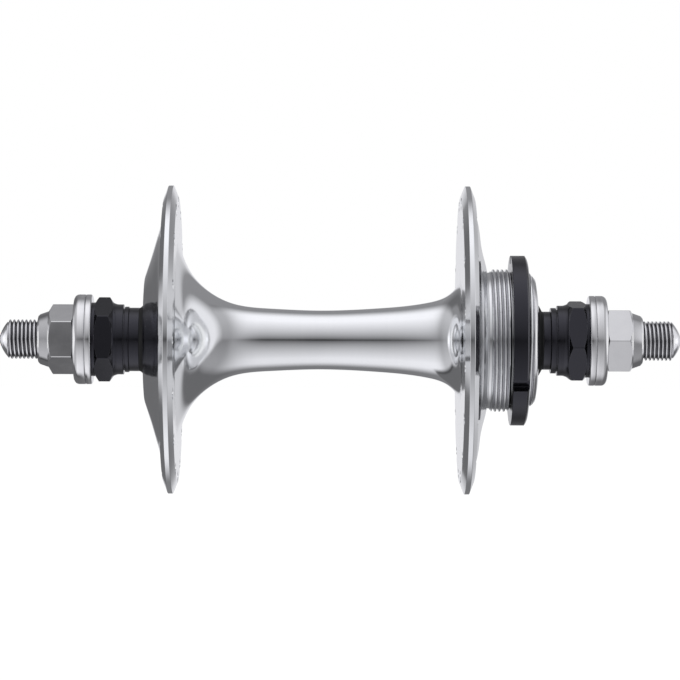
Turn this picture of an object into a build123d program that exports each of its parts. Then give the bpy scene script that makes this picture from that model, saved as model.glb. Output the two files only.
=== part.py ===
from build123d import *
import os
from math import cos, radians, sin, sqrt

# Rear track hub with large flanges, in millimetres. The axle lies along X, +Z is up,
# and the origin is on the axle's line midway between the two faces that the frame clamps.
# The fixed cog screws on at the +X end. Places along the axle are measured from the origin
# outwards, so that a piece made for the +X end is mirrored for the -X end.

# Axle and the two faces that the frame ends are clamped against
over_lock_nuts = 120.0
axle_length = 165.0
axle_radius = 9.5 / 2
axle_tip_length = 2.35
axle_tip_radius = 0.8
axle_tip_bulge = (1.05, 3.1)
thread_clearance = 0.05
nut_bore = axle_radius + thread_clearance

# Loose-ball bearings
ball_radius = 25.4 / 8
ball_count = 9
ball_pitch_radius = 9.6
ball_place = 42.5
race_clearance = 0.05
race_radius = ball_radius + race_clearance

# Cups pressed into the shell, and the caps that keep dirt out of them
cup_radius = 14.0
cup_mouth = ball_place + 3.3
cup_bottom = ball_place - 4.4
cup_throat_radius = 10.7
cup_race_sweep = 35.0
dust_cap_mouth = 8.3
flat_cap_chamfer = 0.3
domed_cap_edge = (46.5, 15.6)
domed_cap_bulge = (47.3, 13.5)
domed_cap_end = (47.7, 9.6)

# Cones. What shows of the right one, past its seal, is slimmer than the left one
cone_radius = 7.7
cone_neck_radius = {-1: 7.7, 1: 7.05}
cone_inner_end = ball_place - 1.5
cone_outer_end = {-1: 51.1, 1: 50.85}
cone_race_sweep = 27.0

# Rubber seals in a groove of each cone, with a lip just outside the dust cap
seal_groove_radius = 6.6
seal_start = {-1: 47.5, 1: 47.9}
seal_width = 1.1
seal_lip_radius = 8.65
seal_lip_edge = (0.25, 8.3)

# Washer between cone and lock nut
cone_washer_radius = 7.95

# Lock nuts: a round neck, six flats and a toothed face that bites on the frame
lock_nut_start = 52.15
lock_nut_flats = 17.8
lock_nut_groove_radius = 7.5
lock_nut_neck_start = 52.4
lock_nut_neck_radius = 8.5
lock_nut_neck_flare = (1.0, 0.35)
lock_nut_hex_start = 54.9
lock_nut_hex_lead = 1.0
lock_nut_hex_end = 59.3
lock_nut_chamfer = 0.85
lock_nut_face_radius = 8.95
tooth_count = 30
tooth_depth = 0.35
tooth_width = 0.4
tooth_inner_radius = axle_radius + 1.6

# Track nuts, each with a loose cap washer and a thin washer
washer_radius = 10.9
thin_washer_thickness = 1.55
thin_washer_chamfers = (0.45, 0.2)
cap_washer_thickness = 2.9
cap_washer_rounding = 1.9
track_nut_flats = 14.75
track_nut_hex_length = 6.15
track_nut_hex_lead = 0.35
track_nut_chamfer = 1.0
track_nut_collar_radius = 6.8
track_nut_collar_end_radius = 6.05
track_nut_nose_chamfer = (0.45, 0.45)
track_nut_mouth = 0.25
track_nut_length = 8.7

# Hub shell: two drilled flanges, with a chamfer on both edges of each rim
flange_radius = 74.7 / 2
flange_thickness = 3.35
left_flange = -39.3
right_flange = 28.95
rim_chamfer_width = 1.1
rim_chamfer_depth = 2.8
spoke_circle = 67.0
spoke_holes = 16
spoke_hole_radius = 1.3
spoke_hole_chamfer = 0.25
spoke_hole_turns = {-1: 0.0, 1: 180.0 / spoke_holes}

# Hub shell: curved domes outside the flanges and the waisted barrel between them, as (x, radius)
dome_foot_radius = 31.7
left_end = -47.25
left_dome = [(-43.15, 28.8), (-44.3, 24.8), (-45.8, 19.8), (left_end, 15.4)]
right_dome = [(33.0, 29.0), (33.6, 25.0), (34.55, 20.3), (35.05, 18.5)]
barrel_left_foot_radius = 23.9
barrel_right_foot_radius = 15.0
barrel_waist = [
    (-36.0, 15.9),
    (-32.1, 11.9),
    (-26.7, 9.0),
    (-17.0, 7.6),
    (-4.9, 7.15),
    (8.7, 7.7),
    (21.3, 9.15),
    (26.1, 10.9),
]
barrel_leaves = (0.25, -1)
barrel_arrives = (0.2, 1)
barrel_bore = 5.4
barrel_bore_half_length = 28.0
barrel_cone = (33.0, 8.0)

# Cog thread, 1.37 in by 24 to the inch, and left-hand lockring thread, 1.29 in by 24
cog_thread_radius = 34.5 / 2
cog_thread_root = 16.6
cog_thread_land = 35.45
cog_thread_start = 36.1
cog_thread_end = 40.9
lockring_thread_radius = 32.6 / 2
lockring_thread_root = 15.6
thread_relief = 0.4
thread_chamfer = 0.4
shell_right_end = 46.3

# Lockring with three slots for a hook wrench and a rounded outer edge
lockring_radius = 20.6
lockring_start = 41.1
lockring_edge_start = 44.45
lockring_bulge = (44.95, 19.8)
lockring_end = 45.2
lockring_face_radius = 18.4
lockring_chamfer = 0.2
lockring_slots = 3
lockring_slot_width = 3.0
lockring_slot_depth = 2.0
lockring_slot_turn = 212.0


def on_side(solid, side):
    """Pieces are made for the +X end. The -X end has their mirror image."""
    return solid if side > 0 else solid.mirror(Plane.YZ)


def make_axle():
    half = axle_length / 2
    shoulder = (half - axle_tip_length, axle_radius)
    bulge = (half - axle_tip_bulge[0], axle_tip_bulge[1])
    tip = (half, axle_tip_radius)
    with BuildPart() as axle:
        with BuildSketch(Plane.XZ):
            with BuildLine():
                Polyline((0, 0), (0, axle_radius), shoulder)
                ThreePointArc(shoulder, bulge, tip)
                Polyline(tip, (half, 0), (0, 0))
            make_face()
        revolve(axis=Axis.X)
        mirror(about=Plane.YZ)
    return axle.part


def make_cup(side):
    """Hardened cup. Its race is an arc round the ball's centre, from over the ball inwards."""
    throat_run = sqrt(race_radius**2 - (cup_throat_radius - ball_pitch_radius) ** 2)
    race_top = (ball_place, ball_pitch_radius + race_radius)
    race_middle = (
        ball_place - race_radius * sin(radians(cup_race_sweep)),
        ball_pitch_radius + race_radius * cos(radians(cup_race_sweep)),
    )
    race_throat = (ball_place - throat_run, cup_throat_radius)
    with BuildPart() as cup:
        with BuildSketch(Plane.XZ):
            with BuildLine():
                Polyline(
                    race_top,
                    (cup_mouth, race_top[1]),
                    (cup_mouth, cup_radius),
                    (cup_bottom, cup_radius),
                    (cup_bottom, cup_throat_radius),
                    race_throat,
                )
                ThreePointArc(race_throat, race_middle, race_top)
            make_face()
        revolve(axis=Axis.X)
    return on_side(cup.part, side)


def make_cone(side):
    """Adjustable cone. Its race runs under the ball and up its outer side."""
    race_bottom = (ball_place, ball_pitch_radius - race_radius)
    race_run = sqrt(race_radius**2 - (ball_pitch_radius - cone_radius) ** 2)
    race_edge = (ball_place + race_run, cone_radius)
    race_middle = (
        ball_place + race_radius * sin(radians(cone_race_sweep)),
        ball_pitch_radius - race_radius * cos(radians(cone_race_sweep)),
    )
    groove_start = seal_start[side]
    groove_end = groove_start + seal_width
    outer_end = cone_outer_end[side]
    with BuildPart() as cone:
        with BuildSketch(Plane.XZ):
            with BuildLine():
                Polyline(
                    race_edge,
                    (groove_start, cone_radius),
                    (groove_start, seal_groove_radius),
                    (groove_end, seal_groove_radius),
                    (groove_end, cone_neck_radius[side]),
                    (outer_end, cone_neck_radius[side]),
                    (outer_end, nut_bore),
                    (cone_inner_end, nut_bore),
                    (cone_inner_end, race_bottom[1]),
                    race_bottom,
                )
                ThreePointArc(race_bottom, race_middle, race_edge)
            make_face()
        revolve(axis=Axis.X)
    return on_side(cone.part, side)


def make_cone_seal(side):
    """Rubber ring in the cone's groove, with a lip that flares towards the dust cap."""
    start = seal_start[side]
    end = start + seal_width
    with BuildPart() as cone_seal:
        with BuildSketch(Plane.XZ):
            with BuildLine():
                Polyline(
                    (start, seal_groove_radius),
                    (start, seal_lip_radius),
                    (start + seal_lip_edge[0], seal_lip_edge[1]),
                    (end, cone_neck_radius[side]),
                    (end, seal_groove_radius),
                    close=True,
                )
            make_face()
        revolve(axis=Axis.X)
    return on_side(cone_seal.part, side)


def make_ball_set(side):
    """Loose balls, evenly spread round the axle with a small gap between neighbours."""
    with BuildPart() as balls:
        with Locations(Plane.YZ.offset(side * ball_place)):
            with PolarLocations(ball_pitch_radius, ball_count):
                Sphere(ball_radius)
    return balls.part


def make_left_dust_cap():
    """Flat pressed cap, flush with the shell's end face."""
    face = -left_end
    with BuildPart() as flat_cap:
        with BuildSketch(Plane.XZ):
            with BuildLine():
                Polyline(
                    (cup_mouth, dust_cap_mouth),
                    (cup_mouth, cup_radius),
                    (face, cup_radius),
                    (face, dust_cap_mouth + flat_cap_chamfer),
                    (face - flat_cap_chamfer, dust_cap_mouth),
                    close=True,
                )
            make_face()
        revolve(axis=Axis.X)
    return on_side(flat_cap.part, -1)


def make_right_dust_cap():
    """Domed cap that also covers the end of the lockring thread."""
    with BuildPart() as domed_cap:
        with BuildSketch(Plane.XZ):
            with BuildLine():
                Polyline(
                    domed_cap_end,
                    (domed_cap_end[0], dust_cap_mouth),
                    (cup_mouth, dust_cap_mouth),
                    (cup_mouth, cup_radius),
                    (shell_right_end, cup_radius),
                    (shell_right_end, domed_cap_edge[1]),
                    domed_cap_edge,
                )
                ThreePointArc(domed_cap_edge, domed_cap_bulge, domed_cap_end)
            make_face()
        revolve(axis=Axis.X)
    return domed_cap.part


def make_cone_washer(side):
    start = cone_outer_end[side]
    with BuildPart() as cone_washer:
        with BuildSketch(Plane.YZ.offset(start)):
            Circle(cone_washer_radius)
            Circle(nut_bore, mode=Mode.SUBTRACT)
        extrude(amount=lock_nut_start - start)
    return on_side(cone_washer.part, side)


def make_lock_nut(side, hex_turn):
    """Lock nut, turned first, then milled to six flats, with a ring of teeth on its face."""
    end = over_lock_nuts / 2
    corner = lock_nut_flats / sqrt(3)
    flare_length, flare_height = lock_nut_neck_flare
    with BuildPart() as lock_nut:
        with BuildSketch(Plane.XZ):
            with BuildLine():
                Polyline(
                    (lock_nut_start, nut_bore),
                    (lock_nut_start, lock_nut_groove_radius),
                    (lock_nut_neck_start, lock_nut_groove_radius),
                    (lock_nut_neck_start, lock_nut_neck_radius),
                    (lock_nut_hex_start - flare_length, lock_nut_neck_radius),
                    (lock_nut_hex_start, lock_nut_neck_radius + flare_height),
                    (lock_nut_hex_start + lock_nut_hex_lead, corner),
                    (lock_nut_hex_end - lock_nut_chamfer, corner),
                    (lock_nut_hex_end, lock_nut_face_radius),
                    (end, lock_nut_face_radius),
                    (end, nut_bore),
                    close=True,
                )
            make_face()
        revolve(axis=Axis.X)
        if side < 0:
            mirror(about=Plane.YZ, mode=Mode.REPLACE)
        with BuildSketch(Plane.YZ.offset(side * lock_nut_hex_start)):
            Circle(corner + 1)
            RegularPolygon(lock_nut_flats / 2, 6, major_radius=False, rotation=hex_turn, mode=Mode.SUBTRACT)
        extrude(amount=side * (lock_nut_hex_end - lock_nut_hex_start), mode=Mode.SUBTRACT)
        with BuildSketch(Plane.YZ.offset(side * end)):
            with PolarLocations((lock_nut_face_radius + nut_bore) / 2, tooth_count):
                Rectangle(lock_nut_face_radius, tooth_width)
            Circle(tooth_inner_radius, mode=Mode.SUBTRACT)
        extrude(amount=-side * tooth_depth, mode=Mode.SUBTRACT)
    return lock_nut.part


def make_thin_washer(side):
    """Thin washer that lies against the frame. Its edge is chamfered more on that side."""
    start = over_lock_nuts / 2
    end = start + thin_washer_thickness
    inner_chamfer, outer_chamfer = thin_washer_chamfers
    with BuildPart() as thin_washer:
        with BuildSketch(Plane.XZ):
            with BuildLine():
                Polyline(
                    (start, nut_bore),
                    (start, washer_radius - inner_chamfer),
                    (start + inner_chamfer, washer_radius),
                    (end - outer_chamfer, washer_radius),
                    (end, washer_radius - outer_chamfer),
                    (end, nut_bore),
                    close=True,
                )
            make_face()
        revolve(axis=Axis.X)
    return on_side(thin_washer.part, side)


def make_cap_washer(side):
    """Thick washer with a rounded outer edge, carried in front of the track nut."""
    start = over_lock_nuts / 2 + thin_washer_thickness
    with BuildPart() as cap_washer:
        with BuildSketch(Plane.YZ.offset(start)):
            Circle(washer_radius)
            Circle(nut_bore, mode=Mode.SUBTRACT)
        extrude(amount=cap_washer_thickness)
        end_face = cap_washer.faces().sort_by(Axis.X)[-1]
        fillet(end_face.edges().sort_by(SortBy.RADIUS)[-1], cap_washer_rounding)
    return on_side(cap_washer.part, side)


def make_track_nut(side, hex_turn):
    """Track nut: six flats, chamfered at the outer end, and a round tapered collar."""
    start = over_lock_nuts / 2 + thin_washer_thickness + cap_washer_thickness
    hex_end = start + track_nut_hex_length
    end = start + track_nut_length
    corner = track_nut_flats / sqrt(3)
    nose_length, nose_depth = track_nut_nose_chamfer
    with BuildPart() as track_nut:
        with BuildSketch(Plane.XZ):
            with BuildLine():
                Polyline(
                    (start, nut_bore),
                    (start, track_nut_flats / 2),
                    (start + track_nut_hex_lead, corner),
                    (hex_end - track_nut_chamfer, corner),
                    (hex_end, track_nut_collar_radius),
                    (end - nose_length, track_nut_collar_end_radius),
                    (end, track_nut_collar_end_radius - nose_depth),
                    (end, nut_bore + track_nut_mouth),
                    (end - track_nut_mouth, nut_bore),
                    close=True,
                )
            make_face()
        revolve(axis=Axis.X)
        with BuildSketch(Plane.YZ.offset(start)):
            Circle(corner + 1)
            RegularPolygon(track_nut_flats / 2, 6, major_radius=False, rotation=hex_turn, mode=Mode.SUBTRACT)
        extrude(amount=track_nut_hex_length, mode=Mode.SUBTRACT)
    return on_side(track_nut.part, side)


def rim_outline(inner, outer):
    """Corner points of one flange rim, from the face at inner to the face at outer."""
    chamfer_width = rim_chamfer_width if outer > inner else -rim_chamfer_width
    face_radius = flange_radius - rim_chamfer_depth
    return [
        (inner, face_radius),
        (inner + chamfer_width, flange_radius),
        (outer - chamfer_width, flange_radius),
        (outer, face_radius),
    ]


def make_hub_shell():
    """One turned piece: domes, flanges, barrel, cog thread and lockring thread.

    Threads are plain cylinders at their crest diameter. The barrel is thinnest a little
    left of the middle, and flares wide at the left flange and close at the right one.
    """
    left_outer = left_flange - flange_thickness
    right_outer = right_flange + flange_thickness
    left_dome_foot = (left_outer, dome_foot_radius)
    right_dome_foot = (right_outer, dome_foot_radius)
    left_foot = (left_flange, barrel_left_foot_radius)
    right_foot = (right_flange, barrel_right_foot_radius)
    cup_wall = cup_throat_radius + 1
    with BuildPart() as hub_shell:
        with BuildSketch(Plane.XZ):
            with BuildLine():
                Spline(left_dome_foot, *left_dome)
                Polyline(left_dome_foot, *rim_outline(left_outer, left_flange), left_foot)
                Spline(left_foot, *barrel_waist, right_foot, tangents=(barrel_leaves, barrel_arrives))
                Polyline(right_foot, *rim_outline(right_flange, right_outer), right_dome_foot)
                Spline(right_dome_foot, *right_dome)
                Polyline(
                    right_dome[-1],
                    (cog_thread_land, cog_thread_root),
                    (cog_thread_start, cog_thread_root),
                    (cog_thread_start + thread_chamfer, cog_thread_radius),
                    (cog_thread_end, cog_thread_radius),
                    (cog_thread_end, lockring_thread_root),
                    (cog_thread_end + thread_relief, lockring_thread_root),
                    (cog_thread_end + thread_relief + thread_chamfer, lockring_thread_radius),
                    (shell_right_end - thread_chamfer, lockring_thread_radius),
                    (shell_right_end, lockring_thread_root),
                    (shell_right_end, cup_radius),
                    (cup_bottom, cup_radius),
                    (cup_bottom, cup_wall),
                    barrel_cone,
                    (barrel_bore_half_length, barrel_bore),
                    (-barrel_bore_half_length, barrel_bore),
                    (-barrel_cone[0], barrel_cone[1]),
                    (-cup_bottom, cup_wall),
                    (-cup_bottom, cup_radius),
                    (left_end, cup_radius),
                    left_dome[-1],
                )
            make_face()
        revolve(axis=Axis.X)
        for side, outer_face in ((-1, left_outer), (1, right_outer)):
            with BuildSketch(Plane.YZ.offset(outer_face)):
                with PolarLocations(spoke_circle / 2, spoke_holes, start_angle=spoke_hole_turns[side]):
                    Circle(spoke_hole_radius)
            extrude(amount=-side * flange_thickness, mode=Mode.SUBTRACT)
        round_edges = hub_shell.edges().filter_by(GeomType.CIRCLE)
        hole_mouths = [edge for edge in round_edges if abs(edge.radius - spoke_hole_radius) < 0.01]
        chamfer(hole_mouths, spoke_hole_chamfer)
    return hub_shell.part


def make_lockring():
    """Slotted ring that locks the cog, with a well rounded edge on its outer side."""
    bore = lockring_thread_radius + thread_clearance
    edge_start = (lockring_edge_start, lockring_radius)
    edge_end = (lockring_end, lockring_face_radius)
    with BuildPart() as lockring:
        with BuildSketch(Plane.XZ):
            with BuildLine():
                ThreePointArc(edge_start, lockring_bulge, edge_end)
                Polyline(
                    edge_end,
                    (lockring_end, bore + lockring_chamfer),
                    (lockring_end - lockring_chamfer, bore),
                    (lockring_start, bore),
                    (lockring_start, lockring_radius - lockring_chamfer),
                    (lockring_start + lockring_chamfer, lockring_radius),
                    edge_start,
                )
            make_face()
        revolve(axis=Axis.X)
        with BuildSketch(Plane.YZ.offset(lockring_start)):
            with PolarLocations(lockring_radius, lockring_slots, start_angle=lockring_slot_turn):
                Rectangle(2 * lockring_slot_depth, lockring_slot_width)
        extrude(amount=lockring_end - lockring_start, mode=Mode.SUBTRACT)
    return lockring.part


# Hexagon turns are about X from +Y: at 30 a flat faces the front, at 0 a corner does
pieces = {
    "axle": make_axle(),
    "hub_shell": make_hub_shell(),
    "left_bearing_cup": make_cup(-1),
    "right_bearing_cup": make_cup(1),
    "left_ball_set": make_ball_set(-1),
    "right_ball_set": make_ball_set(1),
    "left_cone": make_cone(-1),
    "right_cone": make_cone(1),
    "left_cone_seal": make_cone_seal(-1),
    "right_cone_seal": make_cone_seal(1),
    "left_dust_cap": make_left_dust_cap(),
    "right_dust_cap": make_right_dust_cap(),
    "left_cone_washer": make_cone_washer(-1),
    "right_cone_washer": make_cone_washer(1),
    "left_lock_nut": make_lock_nut(-1, hex_turn=27.0),
    "right_lock_nut": make_lock_nut(1, hex_turn=9.7),
    "left_thin_washer": make_thin_washer(-1),
    "right_thin_washer": make_thin_washer(1),
    "left_cap_washer": make_cap_washer(-1),
    "right_cap_washer": make_cap_washer(1),
    "left_track_nut": make_track_nut(-1, hex_turn=30.0),
    "right_track_nut": make_track_nut(1, hex_turn=0.0),
    "lockring": make_lockring(),
}

os.makedirs("parts", exist_ok=True)
for name, piece in pieces.items():
    piece.label = name
    export_step(piece, f"parts/{name}.step")
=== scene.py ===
from math import atan2, ceil, cos, degrees, pi, radians, sin, sqrt, tan

import bmesh
import bpy
import numpy as np
from mathutils import Matrix, Vector


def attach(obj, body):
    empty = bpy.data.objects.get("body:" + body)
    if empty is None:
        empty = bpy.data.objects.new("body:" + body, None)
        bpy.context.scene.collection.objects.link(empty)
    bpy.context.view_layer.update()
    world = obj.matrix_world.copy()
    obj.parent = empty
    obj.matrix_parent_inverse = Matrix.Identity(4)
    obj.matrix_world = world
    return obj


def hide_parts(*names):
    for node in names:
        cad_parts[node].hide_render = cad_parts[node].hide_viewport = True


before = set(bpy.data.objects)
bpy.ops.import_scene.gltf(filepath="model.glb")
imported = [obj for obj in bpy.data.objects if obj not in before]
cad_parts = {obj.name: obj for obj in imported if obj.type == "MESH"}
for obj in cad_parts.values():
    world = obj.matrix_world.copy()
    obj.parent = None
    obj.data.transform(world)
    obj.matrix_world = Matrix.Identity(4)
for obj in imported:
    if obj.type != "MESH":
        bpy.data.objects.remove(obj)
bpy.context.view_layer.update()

# Sizes are in millimetres until a mesh is made. The axle lies along X and +Z is up.
# An outline is a list of corners that is turned round the axle's line. A corner is its place
# along the axle, its distance from the axle's line, and, where it has its own, the radius that
# rounds it.
MM = 0.001
INCH = 25.4

# Axle thread, 26 to the inch, and the two threads of the shell, 24 to the inch
AXLE_PITCH = INCH / 26
SHELL_PITCH = INCH / 24
AXLE_CREST = 4.75
AXLE_ROOT = 4.12
AXLE_THREAD_START = 44.0
LEFT_THREAD_SHIFT = -0.24
RIGHT_THREAD_SHIFT = 0.485
AXLE_SHOULDER = (80.15, AXLE_CREST)
AXLE_BULGE = (81.45, 3.1)
AXLE_TIP = (82.5, 0.8)
NUT_BORE = 4.8

# One turn of a thread: part of the pitch, and part of the thread's height
THREAD_PROFILE = [(0.0, 0), (0.12, 0), (0.24, 0.5), (0.37, 0.93), (0.45, 1)]
THREAD_PROFILE += [(0.56, 1), (0.67, 1), (0.75, 0.93), (0.88, 0.5)]

# Hub shell
FLANGE_RADIUS = 37.34
LEFT_INNER_FACE = -39.3
LEFT_OUTER_FACE = -42.65
RIGHT_INNER_FACE = 28.95
RIGHT_OUTER_FACE = 32.3
RIM_CHAMFER = (1.1, 2.8)
SPOKE_CIRCLE = 33.5
SPOKE_HOLES = 16
SPOKE_HOLE_RADIUS = 1.3
SPOKE_HOLE_SINK = 0.25
DOME_FOOT = 31.7
LEFT_END = -47.25
LEFT_DOME = [(-43.15, 28.8), (-44.3, 24.8), (-45.8, 19.8), (LEFT_END, 15.4)]
RIGHT_DOME = [(33.0, 29.0), (33.6, 25.0), (34.55, 20.3), (35.05, 18.5)]
BARREL_FEET = (23.9, 15.0)
BARREL_WAIST = [(-36.0, 15.9), (-32.1, 11.9), (-26.7, 9.0), (-17.0, 7.6), (-4.9, 7.15)]
BARREL_WAIST += [(8.7, 7.7), (21.3, 9.15), (26.1, 10.9)]
# Directions in which the curves leave their first point and arrive at their last
LEFT_DOME_WAYS = ((-0.1, -1), (-0.32, -1))
RIGHT_DOME_WAYS = ((0.2, -1), (0.25, -1))
BARREL_WAYS = ((0.25, -1), (0.2, 1))
SEAT_RADIUS = 14.0
# The right half of the bore, from the dust cap's seat inward
HALF_BORE = [(38.1, SEAT_RADIUS, 0.0), (38.1, 11.7, 0.1), (33.0, 8.0, 0.5), (28.0, 5.4, 0.5)]
RIGHT_END = 46.3
COG_THREAD_LAND = 35.45
COG_THREAD = (36.1, 40.9)
COG_CREST = 17.25
COG_ROOT = 16.6
LOCKRING_THREAD = (41.25, 46.3)
LOCKRING_CREST = 16.3
LOCKRING_ROOT = 15.6
THREAD_BED = 0.1  # how far under a thread's roots the shell's own surface lies
THREAD_SLEEVE_BORE = 15.0
LEAD_IN_SLOPE = 1.4  # how fast a thread of the shell rises from its ends
LEAD_IN_RISE = 0.02  # how far over its roots it starts

# Lock nuts, washers and track nuts, as distances out from the middle of the axle
LOCK_NUT_START = 52.15
LOCK_NUT_FLATS = 17.8
LOCK_NUT_HEX = (54.6, 59.3)
LOCK_NUT_COLLAR = 8.95
LOCK_FACE = 60.0
WASHER_RADIUS = 10.9
THIN_WASHER_END = 61.55
CAP_WASHER_END = 64.45
TRACK_NUT_FLATS = 14.75
TRACK_NUT_HEX_END = 70.6
TRACK_NUT_END = 73.15
GAP = 0.02  # between two faces that touch, so that they don't flicker

# Cones: where the seal starts, the neck's radius past the seal, and where the neck ends
CONE_SHAPES = {"left": (47.5, 7.7, 51.1), "right": (47.9, 7.05, 50.85)}
CONE_START = 41.0
CONE_BODY = 7.7
CONE_WASHER_RADIUS = 7.95
RACE_CENTRE = (42.5, 9.6)
RACE_RADIUS = 3.225
RACE_REACH = 2.606
SEAL_WIDTH = 1.1
SEAL_GROOVE = 6.6
SEAL_LIP = 8.65

# Dust caps, pressed into the shell's ends
CAP_MOUTH = 8.3
CAP_INSIDE = 45.82
CAP_RADIUS = 13.98
CAP_LIP = (46.42, 15.6)
CAP_DOME = ((47.05, 14.85), (47.42, 12.6), (47.69, 9.6))

# Lockring, with three slots for a hook wrench
LOCKRING_RADIUS = 20.6
LOCKRING_START = 41.1
LOCKRING_EDGE = ((44.45, LOCKRING_RADIUS), (44.95, 19.8), (45.19, 18.4))
SLOTS = 3
FIRST_SLOT = 212  # degrees round the axle
SLOT_SIZE = (8.0, 4.0, 3.0)  # along the axle, out from it and round it
SLOT_MIDDLE = 43.0
SLOT_CORNER = 0.35

# How finely the pieces are divided
EDGE_RADIUS = 0.12
ARC_STEP = 20  # degrees of a rounded corner in one step
SLIGHT_TURN = 12  # degrees of a corner that needs no rounding
MOST_CUT = 0.45  # part of a side that one rounded corner may take
SAME_PLACE = 1e-5  # two corners this close are one
ON_PLANE = 1e-4  # a corner this close to a cut lies in it
SPLINE_STEP = 0.35
COLUMNS = 160  # faces round a turned piece
SHELL_COLUMNS = 320
LOCKRING_COLUMNS = 240
SLEEVE_COLUMNS = 200
CAP_COLUMNS = 200
NUT_COLUMNS = 192
AXLE_COLUMNS = 96
HOLE_COLUMNS = 28
CORE_COLUMNS = 24

# Degrees between neighbouring faces that still read as one smooth surface
FACE_TURN = 24
NUT_TURN = 18
SLEEVE_TURN = 20
LOCKRING_TURN = 20
AXLE_TURN = 28
SEAL_TURN = 40


def linear(colour):
    """Turns a hex sRGB colour into the linear values that a shader takes."""
    parts = [int(colour[i : i + 2], 16) / 255 for i in (1, 3, 5)]
    return [p / 12.92 if p <= 0.04045 else ((p + 0.055) / 1.055) ** 2.4 for p in parts] + [1.0]


def add(tree, kind, inputs=None, **settings):
    """Adds a node with its settings. An input takes a value, a socket, or a node for its output."""
    made = tree.nodes.new(kind)
    for name, value in settings.items():
        setattr(made, name, value)
    for name, value in (inputs or {}).items():
        if isinstance(value, bpy.types.Node):
            value = next(socket for socket in value.outputs if socket.enabled)
        if isinstance(value, bpy.types.NodeSocket):
            tree.links.new(value, made.inputs[name])
        else:
            made.inputs[name].default_value = value
    return made


# Outlines


def corner_arc(before, corner, after, radius):
    """Points of the small arc that rounds one corner of an outline."""
    p = Vector(corner)
    to_before, to_after = Vector(before) - p, Vector(after) - p
    turn = pi - to_before.angle(to_after)
    if radius <= 0 or turn < radians(SLIGHT_TURN):
        return [tuple(p)]
    back = min(radius * tan(turn / 2), MOST_CUT * to_before.length, MOST_CUT * to_after.length)
    u, v = to_before.normalized(), to_after.normalized()
    start, end = p + u * back, p + v * back
    real_radius = back / tan(turn / 2)
    centre = p + (u + v).normalized() * (real_radius / cos(turn / 2))
    steps = max(2, ceil(degrees(turn) / ARC_STEP))
    first, last = (start - centre).normalized(), (end - centre).normalized()
    return [tuple(centre + first.slerp(last, i / steps) * real_radius) for i in range(steps + 1)]


def rounded(corners, radius=EDGE_RADIUS):
    """Rounds every real corner of a closed outline. A corner may bring its own radius."""
    points = []
    for i, corner in enumerate(corners):
        own = corner[2] if len(corner) > 2 else radius
        before, after = corners[i - 1][:2], corners[(i + 1) % len(corners)][:2]
        points += corner_arc(before, corner[:2], after, own)
    return points


def spline(points, leave, arrive):
    """Points of the cubic curve through these ones, even in curvature, from way to way."""
    p = np.array([q[:2] for q in points], float)
    gaps = np.linalg.norm(np.diff(p, axis=0), axis=1)
    n = len(p)
    grid, right = np.eye(n), np.zeros((n, 2))
    right[0] = np.array(leave) / np.linalg.norm(leave)
    right[-1] = np.array(arrive) / np.linalg.norm(arrive)
    for i in range(1, n - 1):
        a, b = gaps[i - 1], gaps[i]
        grid[i, i - 1 : i + 2] = [1 / a, 2 / a + 2 / b, 1 / b]
        right[i] = 3 * ((p[i] - p[i - 1]) / a**2 + (p[i + 1] - p[i]) / b**2)
    ways = np.linalg.solve(grid, right)
    curve = []
    for i, gap in enumerate(gaps):
        steps = max(2, ceil(gap / SPLINE_STEP))
        for t in np.arange(steps) / steps:
            h = [2 * t**3 - 3 * t**2 + 1, t**3 - 2 * t**2 + t, 3 * t**2 - 2 * t**3, t**3 - t**2]
            q = h[0] * p[i] + h[1] * gap * ways[i] + h[2] * p[i + 1] + h[3] * gap * ways[i + 1]
            curve.append((float(q[0]), float(q[1]), 0.0))
    return curve + [(*map(float, p[-1]), 0.0)]


def arc_through(a, b, c):
    """Centre and radius of the circle through three points."""
    d = 2 * (a[0] * (b[1] - c[1]) + b[0] * (c[1] - a[1]) + c[0] * (a[1] - b[1]))
    sa, sb, sc = (p[0] ** 2 + p[1] ** 2 for p in (a, b, c))
    x = (sa * (b[1] - c[1]) + sb * (c[1] - a[1]) + sc * (a[1] - b[1])) / d
    y = (sa * (c[0] - b[0]) + sb * (a[0] - c[0]) + sc * (b[0] - a[0])) / d
    return x, y, sqrt((a[0] - x) ** 2 + (a[1] - y) ** 2)


def arc_points(a, b, c, count):
    """Points along the arc that leads from a over b to c."""
    x0, r0, bend = arc_through(a, b, c)
    first, last = Vector((a[0] - x0, a[1] - r0)), Vector((c[0] - x0, c[1] - r0))
    ways = [first.normalized().slerp(last.normalized(), i / (count - 1)) for i in range(count)]
    return [(x0 + way.x * bend, r0 + way.y * bend) for way in ways]


def flipped(outline):
    """The same outline for the -X end of the axle."""
    return [(-x, r, *rest) for x, r, *rest in outline]


def on_side(outline, side):
    return outline if side == "right" else flipped(outline)


# Meshes


def finished(mesh_name, bm):
    """Makes an object of a mesh in millimetres."""
    bmesh.ops.remove_doubles(bm, verts=bm.verts, dist=SAME_PLACE)
    bmesh.ops.recalc_face_normals(bm, faces=bm.faces)
    bmesh.ops.scale(bm, vec=(MM, MM, MM), verts=bm.verts)
    mesh = bpy.data.meshes.new(mesh_name)
    bm.to_mesh(mesh)
    bm.free()
    piece = bpy.data.objects.new(mesh_name, mesh)
    bpy.context.scene.collection.objects.link(piece)
    return piece


def crisp(piece, angle=FACE_TURN):
    """Shades smooth inside an angle, and lets the large faces stay truly flat."""
    mesh = piece.data
    mesh.polygons.foreach_set("use_smooth", [True] * len(mesh.polygons))
    mesh.set_sharp_from_angle(angle=radians(angle))
    even = piece.modifiers.new("even_faces", "WEIGHTED_NORMAL")
    even.keep_sharp = True
    even.weight = 60
    return piece


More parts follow.
